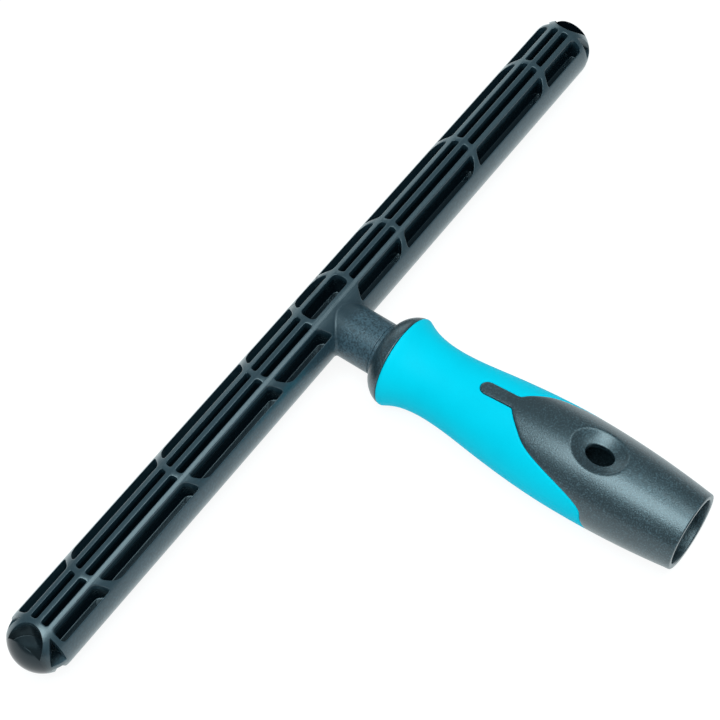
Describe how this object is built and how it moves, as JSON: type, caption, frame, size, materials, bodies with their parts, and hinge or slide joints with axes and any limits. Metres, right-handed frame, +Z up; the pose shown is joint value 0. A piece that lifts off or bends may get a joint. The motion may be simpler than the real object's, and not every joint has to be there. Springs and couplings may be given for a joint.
{
  "type": "window washer t-bar",
  "caption": "T-bar holder for a window washing sleeve: a round open-ribbed bar on a soft-gripped hollow handle with a pole socket and a dished lock hole.",
  "frame": {"origin": "on the table under the middle of the whole tool, where the handle's belly rests on the table", "axes": "+X along the bar, -Y from the bar along the handle's axis to the pole socket's mouth, +Z up out of the dished lock hole"},
  "size_m": [0.352, 0.1726, 0.0372],
  "materials": {
    "bar_plastic": "satin, lightly spark-textured",
    "handle_plastic": "satin, lightly spark-textured",
    "grip_rubber": "smooth satin"
  },
  "bodies": {
    "root": {"t_bar": "bar_plastic", "handle_core": "handle_plastic", "grip_sleeve": "grip_rubber"}
  },
  "joints": []
}
